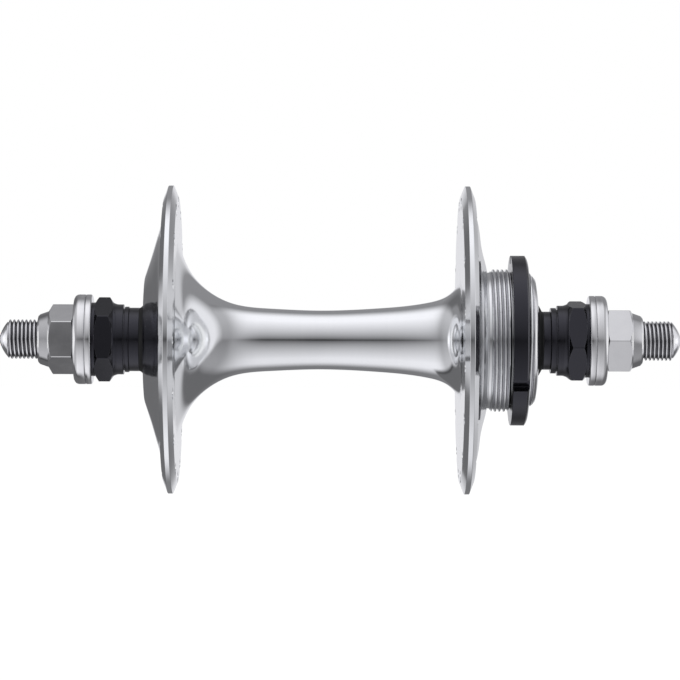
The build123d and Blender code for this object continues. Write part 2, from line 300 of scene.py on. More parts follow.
def circle(bm, x, radius, columns, middle=(0.0, 0.0)):
    """Points of one ring across the axle."""
    ways = [2 * pi * j / columns for j in range(columns)]
    y, z = middle
    return [bm.verts.new((x, y + radius * cos(way), z + radius * sin(way))) for way in ways]


def join_rings(bm, rings, closed=True):
    """Faces between neighbouring rings, and from the last back to the first where closed."""
    for ring, after in zip(rings, rings[1:] + (rings[:1] if closed else [])):
        for j in range(len(ring)):
            k = (j + 1) % len(ring)
            bm.faces.new((ring[j], ring[k], after[k], after[j]))


def turned(name, outline, columns=COLUMNS):
    """A closed outline that is turned round X. It has no point on the axis."""
    bm = bmesh.new()
    join_rings(bm, [circle(bm, x, r, columns) for x, r, *_ in outline])
    return finished(name, bm)


def cut(piece, cutters):
    """Takes the cutters out of a piece for good."""
    for cutter in cutters:
        step = piece.modifiers.new("cut", "BOOLEAN")
        step.operation = "DIFFERENCE"
        step.solver = "EXACT"
        step.object = cutter
    bpy.context.view_layer.update()
    seen = piece.evaluated_get(bpy.context.evaluated_depsgraph_get())
    mesh = bpy.data.meshes.new_from_object(seen)
    piece.modifiers.clear()
    piece.data = mesh
    for cutter in cutters:
        bpy.data.objects.remove(cutter)
    return piece


def hexagon_cutter(flats, start, end, turn):
    """A thick tube with a hexagonal hole. Cutting with it leaves six flats."""
    reach, corner_radius = 30.0, 0.3
    inset = flats / sqrt(3) - corner_radius * 2 / sqrt(3)
    hexagon = []
    for side in range(6):
        middle = radians(turn + 60 * side)
        for step in range(-2, 3):
            way = middle + radians(15 * step)
            y = inset * cos(middle) + corner_radius * cos(way)
            z = inset * sin(middle) + corner_radius * sin(way)
            hexagon.append((y, z))
    ways = [atan2(z, y) for y, z in hexagon]
    outside = [(reach * cos(way), reach * sin(way)) for way in ways]
    bm = bmesh.new()
    places = ((start, hexagon), (end, hexagon), (end, outside), (start, outside))
    join_rings(bm, [[bm.verts.new((x, y, z)) for y, z in ring] for x, ring in places])
    return finished("hexagon_cutter", bm)


def spoke_hole_cutter(face_low, face_high, first_turn):
    """All the spoke holes of one flange as one mesh: a drill with a small sink at each face."""
    sink, reach = SPOKE_HOLE_SINK, 1.0
    wide = SPOKE_HOLE_RADIUS + sink
    profile = [
        (face_low - reach, wide + reach),
        (face_low, wide),
        (face_low + sink, SPOKE_HOLE_RADIUS),
        (face_high - sink, SPOKE_HOLE_RADIUS),
        (face_high, wide),
        (face_high + reach, wide + reach),
    ]
    bm = bmesh.new()
    for hole in range(SPOKE_HOLES):
        way = 2 * pi * hole / SPOKE_HOLES + first_turn
        middle = (SPOKE_CIRCLE * cos(way), SPOKE_CIRCLE * sin(way))
        rings = [circle(bm, x, r, HOLE_COLUMNS, middle) for x, r in profile]
        join_rings(bm, rings, closed=False)
        bm.faces.new(rings[0])
        bm.faces.new(rings[-1])
    return finished("spoke_hole_cutter", bm)


def helix_mesh(span, heights, pitch, hand, envelope, columns, shift=0.0):
    """A capped rod with a V thread that winds along X, no wider than the envelope says."""
    start, end = span
    root, crest = heights
    bm = bmesh.new()
    strips = []
    for turn in range(ceil((end - start) / pitch) + 3):
        for along, height in THREAD_PROFILE:
            row = []
            for j in range(columns):
                x = start + shift + (turn - 2 + along + hand * j / columns) * pitch
                r = min(root + (crest - root) * height, envelope(min(max(x, start), end)))
                way = 2 * pi * j / columns
                row.append(bm.verts.new((x, r * cos(way), r * sin(way))))
            strips.append(row)
    lead = len(THREAD_PROFILE) * hand
    for i in range(len(strips) - 1):
        here, there = strips[i], strips[i + 1]
        for j in range(columns - 1):
            bm.faces.new((here[j], here[j + 1], there[j + 1], there[j]))
        if 0 <= i + lead and i + lead + 1 < len(strips):
            ahead, next_ahead = strips[i + lead], strips[i + lead + 1]
            bm.faces.new((here[-1], ahead[0], next_ahead[0], there[-1]))
    for place, way in ((start, -1), (end, 1)):
        everything = bm.verts[:] + bm.edges[:] + bm.faces[:]
        bmesh.ops.bisect_plane(
            bm, geom=everything, plane_co=(place, 0, 0), plane_no=(way, 0, 0), clear_outer=True
        )
        open_edges = [e for e in bm.edges if e.is_boundary]
        rim = [e for e in open_edges if all(abs(v.co.x - place) < ON_PLANE for v in e.verts)]
        bmesh.ops.contextual_create(bm, geom=rim)
    return bm


# Finishes

MARK_WANDER = 0.15  # how much turning marks change round the axle, where 1 is as much as along it
MIX_A, MIX_B, MIX_OUT = 6, 7, 2  # the colour sockets of a mix node


def per_mm(size):
    """Texture scale of a pattern whose features are about this many millimetres wide."""
    return 1 / (size * MM)


def material(name, colour, roughness, metallic=1.0):
    made = bpy.data.materials.new(name)
    made.use_nodes = True
    shader = made.node_tree.nodes["Principled BSDF"]
    shader.inputs["Base Color"].default_value = linear(colour)
    shader.inputs["Roughness"].default_value = roughness
    shader.inputs["Metallic"].default_value = metallic
    return made, made.node_tree, shader


def lathe_place(tree):
    """Coordinates that change along the axle and out from it, but hardly round it, as marks do."""
    place = add(tree, "ShaderNodeTexCoord").outputs["Object"]
    split = add(tree, "ShaderNodeSeparateXYZ", {0: place})
    sides = {"Y": split.outputs["Y"], "Z": split.outputs["Z"]}
    off_axis = add(tree, "ShaderNodeCombineXYZ", sides)
    radius = add(tree, "ShaderNodeVectorMath", {0: off_axis}, operation="LENGTH")
    across = {0: split.outputs["Y"], 1: MARK_WANDER}
    wander = add(tree, "ShaderNodeMath", across, operation="MULTIPLY")
    return add(tree, "ShaderNodeCombineXYZ", {"X": split.outputs["X"], "Y": radius, "Z": wander})


def polished_aluminium():
    """Forged and turned aluminium, polished on a lathe: very bright, with faint lines round it.

    Real polishing lines are about 0.02 mm apart. They are drawn 0.35 mm apart, so that they show.
    """
    made, tree, shader = material("polished_aluminium", "#F2F3F4", 0.12)
    lines = {"Vector": lathe_place(tree), "Scale": per_mm(0.35), "Detail": 3.0, "Roughness": 0.6}
    grain = add(tree, "ShaderNodeTexNoise", lines)
    place = add(tree, "ShaderNodeTexCoord").outputs["Object"]
    haze = add(tree, "ShaderNodeTexNoise", {"Vector": place, "Scale": per_mm(9.0), "Detail": 4.0})
    both = add(tree, "ShaderNodeMath", {0: grain, 1: haze}, operation="ADD")
    gloss = {"Value": both, "From Min": 0.7, "From Max": 1.3, "To Min": 0.06, "To Max": 0.12}
    satin = add(tree, "ShaderNodeMapRange", gloss)
    tree.links.new(satin.outputs["Result"], shader.inputs["Roughness"])
    shades = {"Factor": grain, MIX_A: linear("#EFF0F2"), MIX_B: linear("#F5F6F7")}
    tint = add(tree, "ShaderNodeMix", shades, data_type="RGBA")
    tree.links.new(tint.outputs[MIX_OUT], shader.inputs["Base Color"])
    marks = add(tree, "ShaderNodeBump", {"Height": grain, "Distance": 0.0005 * MM})
    tree.links.new(marks.outputs["Normal"], shader.inputs["Normal"])
    return made


def turned_steel(name, colour, darker, line_mm, roughness, depth_mm):
    """Plated steel that shows its turning: tool marks round the axle, darker and paler by turns.

    Real tool marks are 0.1 to 0.2 mm apart. They are drawn wider, so that they show.
    """
    made, tree, shader = material(name, colour, roughness)
    lines = {"Vector": lathe_place(tree), "Scale": per_mm(line_mm), "Detail": 3.0, "Roughness": 0.6}
    grain = add(tree, "ShaderNodeTexNoise", lines)
    place = add(tree, "ShaderNodeTexCoord").outputs["Object"]
    haze = add(tree, "ShaderNodeTexNoise", {"Vector": place, "Scale": per_mm(2.5), "Detail": 3.0})
    gloss = {"Value": haze, "From Min": 0.3, "From Max": 0.7}
    gloss |= {"To Min": roughness - 0.03, "To Max": roughness + 0.04}
    satin = add(tree, "ShaderNodeMapRange", gloss)
    tree.links.new(satin.outputs["Result"], shader.inputs["Roughness"])
    streaks = add(tree, "ShaderNodeMapRange", {"Value": grain, "From Min": 0.3, "From Max": 0.7})
    shades = {"Factor": streaks, MIX_A: linear(darker), MIX_B: linear(colour)}
    tint = add(tree, "ShaderNodeMix", shades, data_type="RGBA")
    tree.links.new(tint.outputs[MIX_OUT], shader.inputs["Base Color"])
    marks = add(tree, "ShaderNodeBump", {"Height": grain, "Distance": depth_mm * MM})
    tree.links.new(marks.outputs["Normal"], shader.inputs["Normal"])
    return made


def threaded_metal(name, colour, root_oil_and_shade_colour, heights, oil_and_shade_line, roughness):
    """A cut or rolled thread with bright crests, and roots painted darker, as dark oil and as
    painted shade.
    """
    made, tree, shader = material(name, colour, roughness)
    root, crest = heights
    place = add(tree, "ShaderNodeTexCoord").outputs["Object"]
    split = add(tree, "ShaderNodeSeparateXYZ", {0: place})
    sides = {"Y": split.outputs["Y"], "Z": split.outputs["Z"]}
    off_axis = add(tree, "ShaderNodeCombineXYZ", sides)
    radius = add(tree, "ShaderNodeVectorMath", {0: off_axis}, operation="LENGTH")
    # Under the oil line the roots are painted darker, as oil and as painted shade in the hollows
    low, high = (root + (crest - root) * part for part in oil_and_shade_line)
    above_oil_and_shade = {"Value": radius, "From Min": low * MM, "From Max": high * MM}
    clean = add(tree, "ShaderNodeMapRange", above_oil_and_shade)
    haze = add(tree, "ShaderNodeTexNoise", {"Vector": place, "Scale": per_mm(1.5), "Detail": 3.0})
    patches = {"Value": haze, "From Min": 0.3, "From Max": 0.7, "To Min": 0.8, "To Max": 1.1}
    uneven = add(tree, "ShaderNodeMapRange", patches)
    both = {0: clean, 1: uneven}
    oiled_and_shaded = add(tree, "ShaderNodeMath", both, operation="MULTIPLY", use_clamp=True)
    # The axle's rounded ends are not painted darker with oil and shade
    out = add(tree, "ShaderNodeMath", {0: split.outputs["X"]}, operation="ABSOLUTE")
    past = {0: out, 1: AXLE_SHOULDER[0] * MM}
    tip = add(tree, "ShaderNodeMath", past, operation="GREATER_THAN")
    shown = add(tree, "ShaderNodeMath", {0: oiled_and_shaded, 1: tip}, operation="MAXIMUM")
    shades = {"Factor": shown, MIX_A: linear(root_oil_and_shade_colour), MIX_B: linear(colour)}
    tint = add(tree, "ShaderNodeMix", shades, data_type="RGBA")
    tree.links.new(tint.outputs[MIX_OUT], shader.inputs["Base Color"])
    gloss = {"Value": shown, "To Min": roughness + 0.15, "To Max": roughness}
    satin = add(tree, "ShaderNodeMapRange", gloss)
    tree.links.new(satin.outputs["Result"], shader.inputs["Roughness"])
    return made


def plated_steel():
    """Nickel plate on milled steel: a smooth, slightly cloudy mirror with shallow waves."""
    made, tree, shader = material("nickel_plated_steel", "#E5E5E6", 0.1)
    place = add(tree, "ShaderNodeTexCoord").outputs["Object"]
    haze = add(tree, "ShaderNodeTexNoise", {"Vector": place, "Scale": per_mm(3.0), "Detail": 4.0})
    gloss = {"Value": haze, "From Min": 0.3, "From Max": 0.7, "To Min": 0.08, "To Max": 0.13}
    satin = add(tree, "ShaderNodeMapRange", gloss)
    tree.links.new(satin.outputs["Result"], shader.inputs["Roughness"])
    shades = {"Factor": haze, MIX_A: linear("#DFDFE1"), MIX_B: linear("#EBEBEC")}
    tint = add(tree, "ShaderNodeMix", shades, data_type="RGBA")
    tree.links.new(tint.outputs[MIX_OUT], shader.inputs["Base Color"])
    waves = add(tree, "ShaderNodeBump", {"Height": haze, "Distance": 0.0006 * MM})
    tree.links.new(waves.outputs["Normal"], shader.inputs["Normal"])
    return made


def blackened_steel():
    """Black oxide on turned steel: a deep black skin under oil, shining, with edges painted grey as
    wear and as painted highlight.

    Real tool marks are 0.1 to 0.2 mm apart. They are drawn 0.4 mm apart, so that they show.
    """
    made, tree, shader = material("black_oxide_steel", "#070708", 0.15, metallic=0.0)
    shader.inputs["Specular IOR Level"].default_value = 0.66
    shader.inputs["Specular Tint"].default_value = linear("#ECECFF")
    place = add(tree, "ShaderNodeTexCoord").outputs["Object"]
    haze = add(tree, "ShaderNodeTexNoise", {"Vector": place, "Scale": per_mm(1.2), "Detail": 4.0})
    gloss = {"Value": haze, "From Min": 0.3, "From Max": 0.7, "To Min": 0.11, "To Max": 0.19}
    satin = add(tree, "ShaderNodeMapRange", gloss)
    tree.links.new(satin.outputs["Result"], shader.inputs["Roughness"])
    shades = {"Factor": haze, MIX_A: linear("#050506"), MIX_B: linear("#0B0B0D")}
    skin = add(tree, "ShaderNodeMix", shades, data_type="RGBA")
    # An edge is where the rounded normal leaves the flat one
    eased = add(tree, "ShaderNodeBevel", {"Radius": 0.12 * MM}, samples=4)
    flat = add(tree, "ShaderNodeNewGeometry").outputs["Normal"]
    edge = add(tree, "ShaderNodeVectorMath", {0: eased, 1: flat}, operation="DOT_PRODUCT")
    # Edges are painted paler grey, as wear and as a painted highlight where rounded edges catch the
    # light
    wear_and_highlight = {"Value": edge, "From Min": 0.97, "From Max": 0.85, "To Max": 0.5}
    rubbed_and_highlit = add(tree, "ShaderNodeMapRange", wear_and_highlight)
    shades = {"Factor": rubbed_and_highlit, MIX_A: skin.outputs[MIX_OUT], MIX_B: linear("#6A6A6E")}
    worn_and_highlit = add(tree, "ShaderNodeMix", shades, data_type="RGBA")
    tree.links.new(worn_and_highlit.outputs[MIX_OUT], shader.inputs["Base Color"])
    lines = {"Vector": lathe_place(tree), "Scale": per_mm(0.4), "Detail": 3.0, "Roughness": 0.6}
    grain = add(tree, "ShaderNodeTexNoise", lines)
    marks = add(tree, "ShaderNodeBump", {"Height": grain, "Distance": 0.0012 * MM})
    tree.links.new(marks.outputs["Normal"], shader.inputs["Normal"])
    return made


def moulded_rubber():
    """Nitrile rubber, moulded: nearly black and dull, with a fine even grain.

    Real moulding grain is about 0.1 mm wide. It is drawn 0.35 mm wide, so that it shows.
    """
    made, tree, shader = material("moulded_rubber", "#0B0B0C", 0.55, metallic=0.0)
    place = add(tree, "ShaderNodeTexCoord").outputs["Object"]
    grain = add(tree, "ShaderNodeTexNoise", {"Vector": place, "Scale": per_mm(0.35), "Detail": 4.0})
    shades = {"Factor": grain, MIX_A: linear("#080809"), MIX_B: linear("#0F0F10")}
    tint = add(tree, "ShaderNodeMix", shades, data_type="RGBA")
    tree.links.new(tint.outputs[MIX_OUT], shader.inputs["Base Color"])
    pores = add(tree, "ShaderNodeBump", {"Height": grain, "Distance": 0.004 * MM})
    tree.links.new(pores.outputs["Normal"], shader.inputs["Normal"])
    return made


def ground_bearing_steel():
    """Hardened bearing steel, ground: a clean grey mirror with a little clouding."""
    made, tree, shader = material("ground_bearing_steel", "#B9BABF", 0.12)
    place = add(tree, "ShaderNodeTexCoord").outputs["Object"]
    haze = add(tree, "ShaderNodeTexNoise", {"Vector": place, "Scale": per_mm(1.0), "Detail": 4.0})
    gloss = {"Value": haze, "From Min": 0.3, "From Max": 0.7, "To Min": 0.09, "To Max": 0.16}
    satin = add(tree, "ShaderNodeMapRange", gloss)
    tree.links.new(satin.outputs["Result"], shader.inputs["Roughness"])
    shades = {"Factor": haze, MIX_A: linear("#B4B5BA"), MIX_B: linear("#BEBFC4")}
    tint = add(tree, "ShaderNodeMix", shades, data_type="RGBA")
    tree.links.new(tint.outputs[MIX_OUT], shader.inputs["Base Color"])
    return made


AXLE_HEIGHTS = (AXLE_ROOT, AXLE_CREST)
COG_HEIGHTS = (COG_ROOT, COG_CREST)
LOCKRING_HEIGHTS = (LOCKRING_ROOT, LOCKRING_CREST)
# The oil and painted shade in a thread's roots thin out between these parts of its height
THIN_OIL_AND_SHADE, THICK_OIL_AND_SHADE = (0.05, 0.4), (0.4, 0.8)
THREAD_GLOSS = 0.14
# Crest colour, and a root colour painted darker as oil and painted shade
CUT_METAL = ("#F2F3F4", "#C4C4C8")

POLISHED = polished_aluminium()
BLACKENED = blackened_steel()
PLATED = plated_steel()
WASHER_STEEL = turned_steel("turned_washer_steel", "#F2F2F3", "#E2E2E4", 0.8, 0.11, 0.001)
CAP_STEEL = turned_steel("pressed_cap_steel", "#F0F0F1", "#DCDCDE", 0.5, 0.14, 0.0015)
# The axle's roots are painted dark grey, as oil and as painted shade
AXLE_STEEL = threaded_metal(
    "rolled_axle_steel", "#EAEAEC", "#808084", AXLE_HEIGHTS, THICK_OIL_AND_SHADE, THREAD_GLOSS
)
COG_STEEL = threaded_metal("cut_cog_thread", *CUT_METAL, COG_HEIGHTS, THIN_OIL_AND_SHADE, THREAD_GLOSS)
RING_STEEL = threaded_metal(
    "cut_lockring_thread", *CUT_METAL, LOCKRING_HEIGHTS, THIN_OIL_AND_SHADE, THREAD_GLOSS
)
RUBBER = moulded_rubber()
BEARING_STEEL = ground_bearing_steel()


def dress(piece, body, finish, slot, *nodes):
    """Gives a piece its finish and body, and hides the CAD nodes it stands for. The record slot is
    not used.
    """
    piece.data.materials.clear()
    piece.data.materials.append(finish)
    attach(piece, body)
    if nodes:
        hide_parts(*nodes)


# Hub shell


def flange_rim(inner, outer):
    """Rim corners of one flange, from its inner face round to its outer face."""
    way = 1 if outer > inner else -1
    width, depth = RIM_CHAMFER
    return [
        (inner, FLANGE_RADIUS - depth, 0.2),
        (inner + way * width, FLANGE_RADIUS, 0.15),
        (outer - way * width, FLANGE_RADIUS, 0.15),
        (outer, FLANGE_RADIUS - depth, 0.2),
    ]


def shell_outline():
    """From the left end over the flanges and the barrel to the right end, and back inside."""
    left_foot = (LEFT_INNER_FACE, BARREL_FEET[0])
    right_foot = (RIGHT_INNER_FACE, BARREL_FEET[1])
    left_dome = spline([(LEFT_OUTER_FACE, DOME_FOOT), *LEFT_DOME], *LEFT_DOME_WAYS)
    right_dome = spline([(RIGHT_OUTER_FACE, DOME_FOOT), *RIGHT_DOME], *RIGHT_DOME_WAYS)
    corners = [(LEFT_END, SEAT_RADIUS, 0.05), *left_dome[:0:-1]]
    corners += [(LEFT_OUTER_FACE, DOME_FOOT, 0.3)]
    corners += flange_rim(LEFT_INNER_FACE, LEFT_OUTER_FACE)[::-1]
    corners += spline([left_foot, *BARREL_WAIST, right_foot], *BARREL_WAYS)
    corners += flange_rim(RIGHT_INNER_FACE, RIGHT_OUTER_FACE)
    corners += right_dome[:-1]
    corners += [
        (*RIGHT_DOME[-1], 0.1),
        (COG_THREAD_LAND, COG_ROOT - THREAD_BED, 0.1),
        (COG_THREAD[1], COG_ROOT - THREAD_BED, 0.0),
        (COG_THREAD[1], LOCKRING_ROOT - THREAD_BED, 0.0),
        (RIGHT_END, LOCKRING_ROOT - THREAD_BED, 0.1),
        (RIGHT_END, SEAT_RADIUS, 0.0),
    ]
    return rounded(corners + HALF_BORE + flipped(HALF_BORE)[::-1])


def make_shell():
    shell = turned("hub_shell_polished", shell_outline(), SHELL_COLUMNS)
    left_holes = spoke_hole_cutter(LEFT_OUTER_FACE, LEFT_INNER_FACE, 0.0)
    right_holes = spoke_hole_cutter(RIGHT_INNER_FACE, RIGHT_OUTER_FACE, pi / SPOKE_HOLES)
    crisp(cut(shell, [left_holes, right_holes]))
    dress(shell, "shell", POLISHED, "polished_aluminium", "hub_shell")


def thread_sleeve(name, span, heights, hand, finish):
    """The turns of one of the shell's threads, as a sleeve that sits on the shell."""
    start, end = span
    low, high = start - 1, end + 1

    def lead_in(x):
        """Radius of the chamfers that the thread runs out in."""
        return heights[0] + LEAD_IN_SLOPE * min(x - start, end - x) + LEAD_IN_RISE

    turns = helix_mesh(span, heights, SHELL_PITCH, hand, lead_in, SLEEVE_COLUMNS)
    sleeve = finished(name, turns)
    wide = THREAD_SLEEVE_BORE
    bore = turned("bore", [(low, 1.0), (low, wide), (high, wide), (high, 1.0)])
    # A turned cutter has no point on the axis, so a thin one takes what the first leaves there
    core = turned("core", [(low, 0.001), (low, 1.5), (high, 1.5), (high, 0.001)], CORE_COLUMNS)
    crisp(cut(sleeve, [bore, core]), SLEEVE_TURN)
    dress(sleeve, "shell", finish, "polished_aluminium")


# Axle


def tip_envelope(x):
    """Radius of the axle's rounded end, an arc through its shoulder and its tip."""
    out = abs(x)
    if out <= AXLE_SHOULDER[0]:
        return AXLE_CREST
    centre_out, centre_r, bend = arc_through(AXLE_SHOULDER, AXLE_BULGE, AXLE_TIP)
    return centre_r + sqrt(max(bend**2 - (out - centre_out) ** 2, 0.0))


def plain_rod(start, end, radius):
    bm = bmesh.new()
    size = {"radius1": radius, "radius2": radius, "depth": end - start}
    ring = bmesh.ops.create_cone(bm, cap_ends=True, segments=AXLE_COLUMNS, **size)
    lying = Matrix.Rotation(pi / 2, 3, "Y")
    bmesh.ops.rotate(bm, verts=ring["verts"], cent=(0, 0, 0), matrix=lying)
    bmesh.ops.translate(bm, verts=ring["verts"], vec=((start + end) / 2, 0, 0))
    return bm


def make_axle():
    """Two threaded ends, both right-hand, and the plain stretch inside the hub."""
    start, end = AXLE_THREAD_START, AXLE_TIP[0] - 0.01
    thread = (AXLE_HEIGHTS, AXLE_PITCH, 1, tip_envelope, AXLE_COLUMNS)
    bm = helix_mesh((start, end), *thread, shift=RIGHT_THREAD_SHIFT)
    left = helix_mesh((-end, -start), *thread, shift=LEFT_THREAD_SHIFT)
    for extra in (left, plain_rod(-start, start, AXLE_CREST)):
        mesh = bpy.data.meshes.new("extra")
        extra.to_mesh(mesh)
        extra.free()
        bm.from_mesh(mesh)
        bpy.data.meshes.remove(mesh)
    axle = crisp(finished("axle_threaded", bm), AXLE_TURN)
    dress(axle, "axle", AXLE_STEEL, "axle_steel", "axle")


# Pieces on the axle, made for the right end and flipped for the left


def nut_with_flats(name, outline, side, flats, span, turn):
    """A turned blank, milled to a hexagon over a stretch of its length."""
    blank = turned(name, on_side(outline, side), NUT_COLUMNS)
    sign = 1 if side == "right" else -1
    low, high = sorted(sign * x for x in span)
    cut(blank, [hexagon_cutter(flats, low, high, turn)])
    return crisp(blank, NUT_TURN)


def make_lock_nut(side, turn):
    """A round neck that swells to six flats, and a short round collar at the frame end."""
    corner = LOCK_NUT_FLATS / sqrt(3)
    blank = rounded(
        [
            (LOCK_NUT_START, NUT_BORE, 0.05),
            (LOCK_NUT_START, 7.5, 0.0),
            (52.4, 7.5, 0.0),
            (52.4, 8.5, 0.12),
            (53.9, 8.5, 1.5),
            (54.9, 8.85, 0.8),
            (55.9, corner, 0.0),
            (58.45, corner, 0.0),
            (LOCK_NUT_HEX[1], LOCK_NUT_COLLAR, 0.05),
            (LOCK_FACE, LOCK_NUT_COLLAR, 0.1),
            (LOCK_FACE, NUT_BORE, 0.05),
        ]
    )
    name = f"{side}_lock_nut_blackened"
    nut = nut_with_flats(name, blank, side, LOCK_NUT_FLATS, LOCK_NUT_HEX, turn)
    dress(nut, "axle", BLACKENED, "black_oxide_steel", f"{side}_lock_nut")


def make_track_nut(side, turn):
    """Six flats, and a round collar that tapers to the nut's outer end."""
    corner = TRACK_NUT_FLATS / sqrt(3)
    blank = rounded(
        [
            (CAP_WASHER_END, NUT_BORE, 0.05),
            (CAP_WASHER_END, 7.37, 0.05),
            (CAP_WASHER_END + 0.35, corner, 0.0),
            (TRACK_NUT_HEX_END - 1.0, corner, 0.0),
            (TRACK_NUT_HEX_END, 6.85, 0.05),
            (TRACK_NUT_HEX_END + 0.02, 6.78, 0.0),
            (TRACK_NUT_END - 0.45, 6.05, 0.25),
            (TRACK_NUT_END, 5.6, 0.1),
            (TRACK_NUT_END, NUT_BORE + 0.25, 0.1),
            (TRACK_NUT_END - 0.25, NUT_BORE, 0.0),
        ]
    )
    span = (CAP_WASHER_END - 0.5, TRACK_NUT_HEX_END)
    name = f"{side}_track_nut_plated"
    nut = nut_with_flats(name, blank, side, TRACK_NUT_FLATS, span, turn)
    dress(nut, f"{side}_nut", PLATED, "nut_chrome", f"{side}_track_nut")


def make_washers(side):
    """A thin washer against the frame end, and a thick one whose outer edge is well rounded."""
    thin = rounded(
        [
            (LOCK_FACE, NUT_BORE, 0.1),
            (LOCK_FACE, WASHER_RADIUS, 0.45),
            (THIN_WASHER_END - GAP, WASHER_RADIUS, 0.2),
            (THIN_WASHER_END - GAP, NUT_BORE, 0.1),
        ]
    )
    thick = rounded(
        [
            (THIN_WASHER_END, NUT_BORE, 0.1),
            (THIN_WASHER_END, WASHER_RADIUS, 0.2),
            (CAP_WASHER_END - GAP, WASHER_RADIUS, 1.9),
            (CAP_WASHER_END - GAP, NUT_BORE, 0.1),
        ]
    )
    for part, outline in (("thin_washer", thin), ("cap_washer", thick)):
        washer = crisp(turned(f"{side}_{part}_turned", on_side(outline, side), NUT_COLUMNS))
        dress(washer, f"{side}_washers", WASHER_STEEL, "washer_steel", f"{side}_{part}")


def make_cone(side):
    """The cone with its ball race, its washer, and the rubber lip in its groove."""
    race_x, pitch_radius = RACE_CENTRE
    seal, neck, neck_end = CONE_SHAPES[side]
    seal_end = seal + SEAL_WIDTH
    ways = [radians(9 * step) for step in range(6)]
    race = [
        (race_x + RACE_RADIUS * sin(way), pitch_radius - RACE_RADIUS * cos(way), 0.0)
        for way in ways
    ]
    outline = rounded(
        [
            (CONE_START, NUT_BORE, 0.1),
            (CONE_START, pitch_radius - RACE_RADIUS, 0.3),
            *race,
            (race_x + RACE_REACH, CONE_BODY, 0.1),
            (seal, CONE_BODY, 0.0),
            (seal, SEAL_GROOVE, 0.0),
            (seal_end, SEAL_GROOVE, 0.0),
            (seal_end, neck, 0.08),
            (neck_end - GAP, neck, 0.12),
            (neck_end - GAP, NUT_BORE, 0.1),
        ]
    )
    cone = crisp(turned(f"{side}_cone_blackened", on_side(outline, side)))
    dress(cone, "axle", BLACKENED, "black_oxide_steel", f"{side}_cone")

    washer_end = LOCK_NUT_START - GAP
    outline = rounded(
        [
            (neck_end, NUT_BORE),
            (neck_end, CONE_WASHER_RADIUS),
            (washer_end, CONE_WASHER_RADIUS),
            (washer_end, NUT_BORE),
        ],
        0.1,
    )
    washer = crisp(turned(f"{side}_cone_washer_blackened", on_side(outline, side)))
    dress(washer, "axle", BLACKENED, "black_oxide_steel", f"{side}_cone_washer")

    lip = rounded(
        [
            (seal, SEAL_GROOVE + GAP),
            (seal, SEAL_LIP),
            (seal + 0.25, 8.3),
            (seal_end - 0.2, neck + 0.03),
            (seal_end - GAP, neck),
            (seal_end - GAP, SEAL_GROOVE + GAP),
        ],
        0.08,
    )
    seal_ring = crisp(turned(f"{side}_cone_seal_rubber", on_side(lip, side)), SEAL_TURN)
    dress(seal_ring, "axle", RUBBER, "seal_rubber", f"{side}_cone_seal")


def make_dust_caps():
    """A flat cap flush with the left end, and a domed one that laps over the right end."""
    outside = -LEFT_END
    left = rounded(
        [
            (CAP_INSIDE, CAP_MOUTH, 0.1),
            (CAP_INSIDE, CAP_RADIUS, 0.1),
            (outside, CAP_RADIUS, 0.1),
            (outside, CAP_MOUTH + 0.3, 0.2),
            (outside - 0.3, CAP_MOUTH, 0.1),
        ]
    )
    dome = arc_points(*CAP_DOME, 7)
    lip_end, lip_radius = CAP_LIP
    top = CAP_DOME[-1][0]
    right = rounded(
        [
            (CAP_INSIDE, CAP_MOUTH, 0.1),
            (CAP_INSIDE, CAP_RADIUS, 0.0),
            (RIGHT_END, CAP_RADIUS, 0.0),
            (RIGHT_END, lip_radius, 0.05),
            (lip_end, lip_radius, 0.1),
            (*dome[0], 0.25),
            *((x, r, 0.0) for x, r in dome[1:-1]),
            (*CAP_DOME[-1], 0.1),
            (top, CAP_MOUTH, 0.2),
        ]
    )
    for side, outline in (("left", left), ("right", right)):
        cap = crisp(turned(f"{side}_dust_cap_pressed", on_side(outline, side), CAP_COLUMNS))
        dress(cap, "shell", CAP_STEEL, "cap_steel", f"{side}_dust_cap")


def slot_cutter(way):
    """A block with its two bottom edges rounded, at one place on the lockring's rim."""
    bm = bmesh.new()
    bmesh.ops.create_cube(bm, size=1.0)
    bmesh.ops.scale(bm, vec=SLOT_SIZE, verts=bm.verts)
    bottom = [e for e in bm.edges if all(v.co.y < 0 for v in e.verts)]
    along = [e for e in bottom if abs(e.verts[0].co.z - e.verts[1].co.z) < 0.1]
    bmesh.ops.bevel(
        bm, geom=along, offset=SLOT_CORNER, segments=4, profile=0.5, affect="EDGES"
    )
    bmesh.ops.translate(bm, verts=bm.verts, vec=(SLOT_MIDDLE, LOCKRING_RADIUS, 0.0))
    turn = Matrix.Rotation(way, 3, "X")
    bmesh.ops.rotate(bm, verts=bm.verts, cent=(0, 0, 0), matrix=turn)
    return finished("slot_cutter", bm)


def make_lockring():
    bore = LOCKRING_CREST + 0.05
    face = LOCKRING_EDGE[-1][0]
    outline = rounded(
        [
            (LOCKRING_START, bore, 0.0),
            (LOCKRING_START, LOCKRING_RADIUS, 0.2),
            *((x, r, 0.0) for x, r in arc_points(*LOCKRING_EDGE, 8)),
            (face, bore + 0.2, 0.1),
            (face - 0.2, bore, 0.0),
        ]
    )
    ring = turned("lockring_blackened", outline, LOCKRING_COLUMNS)
    ways = [radians(FIRST_SLOT + 360 / SLOTS * step) for step in range(SLOTS)]
    crisp(cut(ring, [slot_cutter(way) for way in ways]), LOCKRING_TURN)
    dress(ring, "lockring", BLACKENED, "black_oxide_steel", "lockring")


def dress_bearings():
    """The cups and balls keep their CAD shape and get their real finish."""
    for side in ("left", "right"):
        for node in (f"{side}_bearing_cup", f"{side}_ball_set"):
            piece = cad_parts[node]
            piece.data.materials.clear()
            piece.data.materials.append(BEARING_STEEL)


